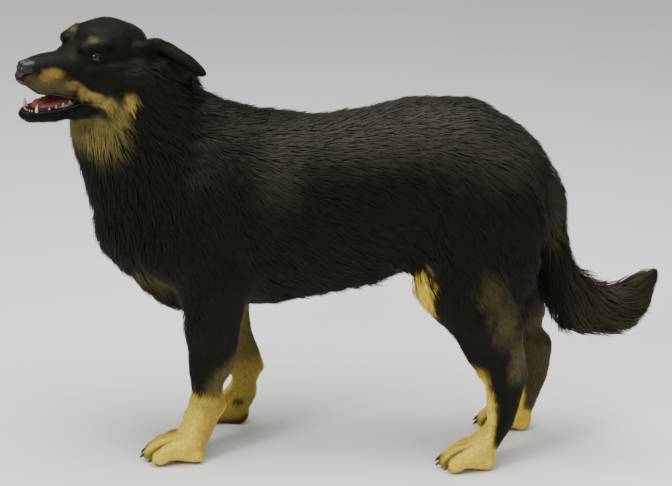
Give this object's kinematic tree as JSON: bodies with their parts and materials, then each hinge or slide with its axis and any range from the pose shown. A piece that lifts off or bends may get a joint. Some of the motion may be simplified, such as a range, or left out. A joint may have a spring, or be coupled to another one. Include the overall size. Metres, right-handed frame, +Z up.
{
  "type": "standing shepherd dog model",
  "caption": "Life-size still display model of a standing black-and-tan shepherd-type dog, head turned to its left with the mouth open, bushy tail hanging.",
  "frame": {"origin": "on the floor, under the middle of the dog's overall box", "axes": "+X towards the tail, -X the way the dog stands, +Y its right side, +Z up"},
  "size_m": [1.0454, 0.306, 0.7469],
  "materials": {
    "black_coat": "medium-long black outer coat with a slight sheen, tan markings on brow, muzzle, cheek, throat, chest and legs",
    "tan_coat": "short tan fur on the paws",
    "nose_leather": "moist black nose leather",
    "eye": "glossy dark brown eye",
    "mouth": "moist pink tongue"
  },
  "bodies": {
    "root": {"chest": "black_coat", "ear_left": "black_coat", "ear_right": "black_coat", "eye_left": "eye", "eye_right": "eye", "forearm_left": "black_coat", "forearm_right": "black_coat", "head": "black_coat", "loins": "black_coat", "lower_jaw": "black_coat", "neck": "black_coat", "nose": "nose_leather", "pastern_left": "black_coat", "pastern_right": "black_coat", "paw_front_left": "tan_coat", "paw_front_right": "tan_coat", "paw_hind_left": "tan_coat", "paw_hind_right": "tan_coat", "shank_left": "black_coat", "shank_right": "black_coat", "shoulder_left": "black_coat", "shoulder_right": "black_coat", "tail_middle": "black_coat", "tail_root": "black_coat", "tail_tip": "black_coat", "thigh_left": "black_coat", "thigh_right": "black_coat", "tongue": "mouth"}
  },
  "joints": []
}
